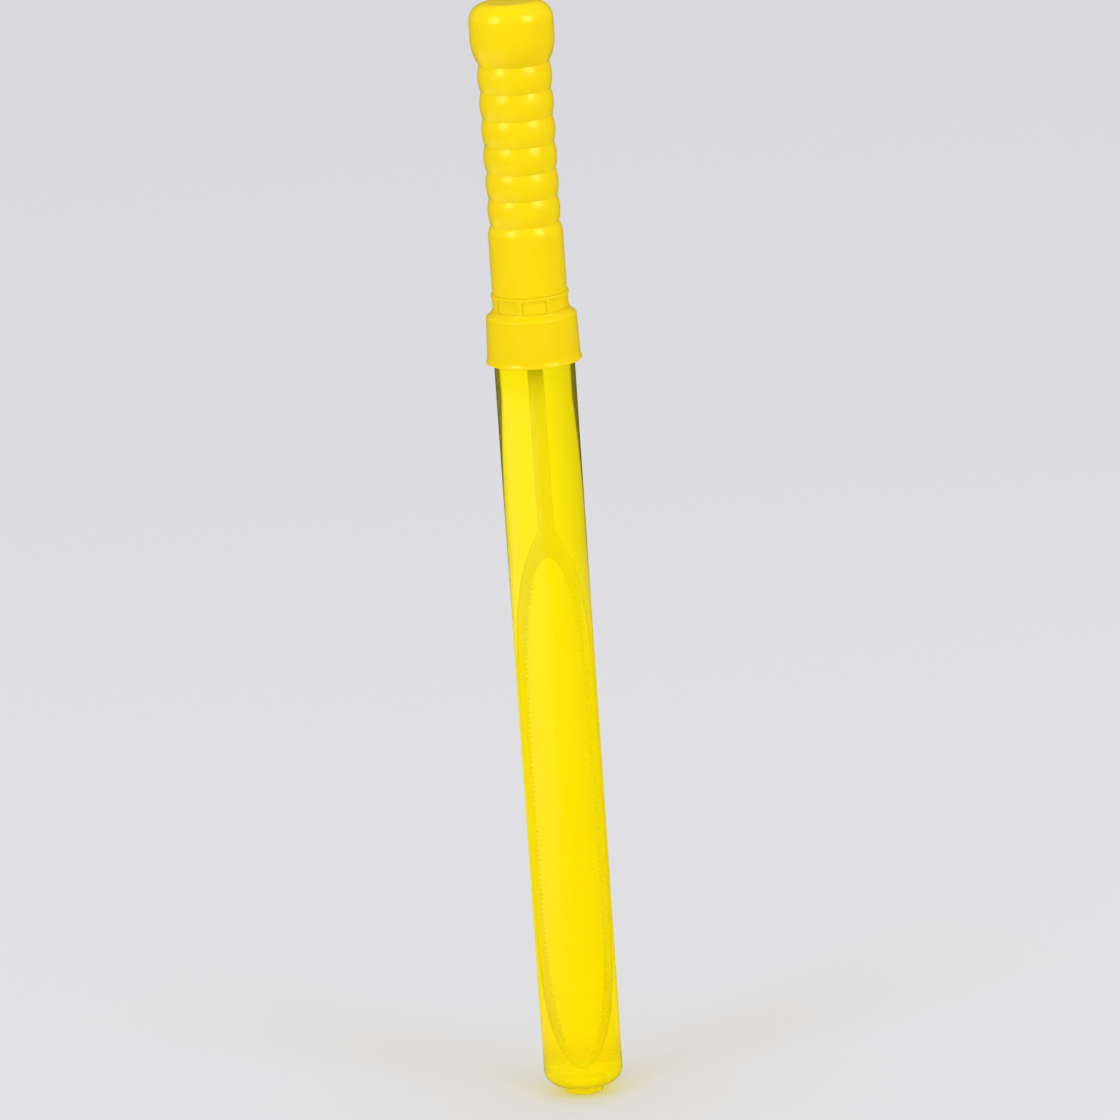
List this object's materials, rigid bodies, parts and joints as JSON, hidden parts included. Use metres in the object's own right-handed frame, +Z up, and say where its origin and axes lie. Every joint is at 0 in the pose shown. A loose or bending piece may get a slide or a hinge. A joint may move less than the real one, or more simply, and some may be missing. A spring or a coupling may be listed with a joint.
{
  "type": "bubble wand",
  "caption": "Tall see-through tube for bubble solution, closed by a screw cap that carries a ribbed grip above and a long toothed wand loop below.",
  "frame": {"origin": "centre of the foot's underside, where it stands on the ground", "axes": "+Z up along the tube's axis, +Y towards the back, +X to the right as seen in the picture; the wand's flat faces look along -Y and +Y"},
  "size_m": [0.0314, 0.0314, 0.3701],
  "materials": {
    "tinted_tube": "clear blow-moulded plastic, tinted yellow",
    "yellow_cap": "injection-moulded, glossy",
    "yellow_grip": "blow-moulded, glossy",
    "yellow_wand": "injection-moulded, glossy",
    "white_foam": "matt closed-cell foam"
  },
  "bodies": {
    "bottle": {"tube": "tinted_tube"},
    "seal": {"seal_gasket": "white_foam"},
    "cap_and_wand": {"screw_cap": "yellow_cap", "handle": "yellow_grip", "bubble_wand": "yellow_wand"}
  },
  "joints": [
    {"name": "wand_draw", "type": "slide", "parent": "bottle", "child": "seal", "axis": [0, 0, 1], "range_m": [0, 0.262]},
    {"name": "cap_turn", "type": "hinge", "parent": "seal", "child": "cap_and_wand", "pos_m": [0, 0, 0.2585], "axis": [0, 0, 1], "range_deg": [0, 360]}
  ]
}
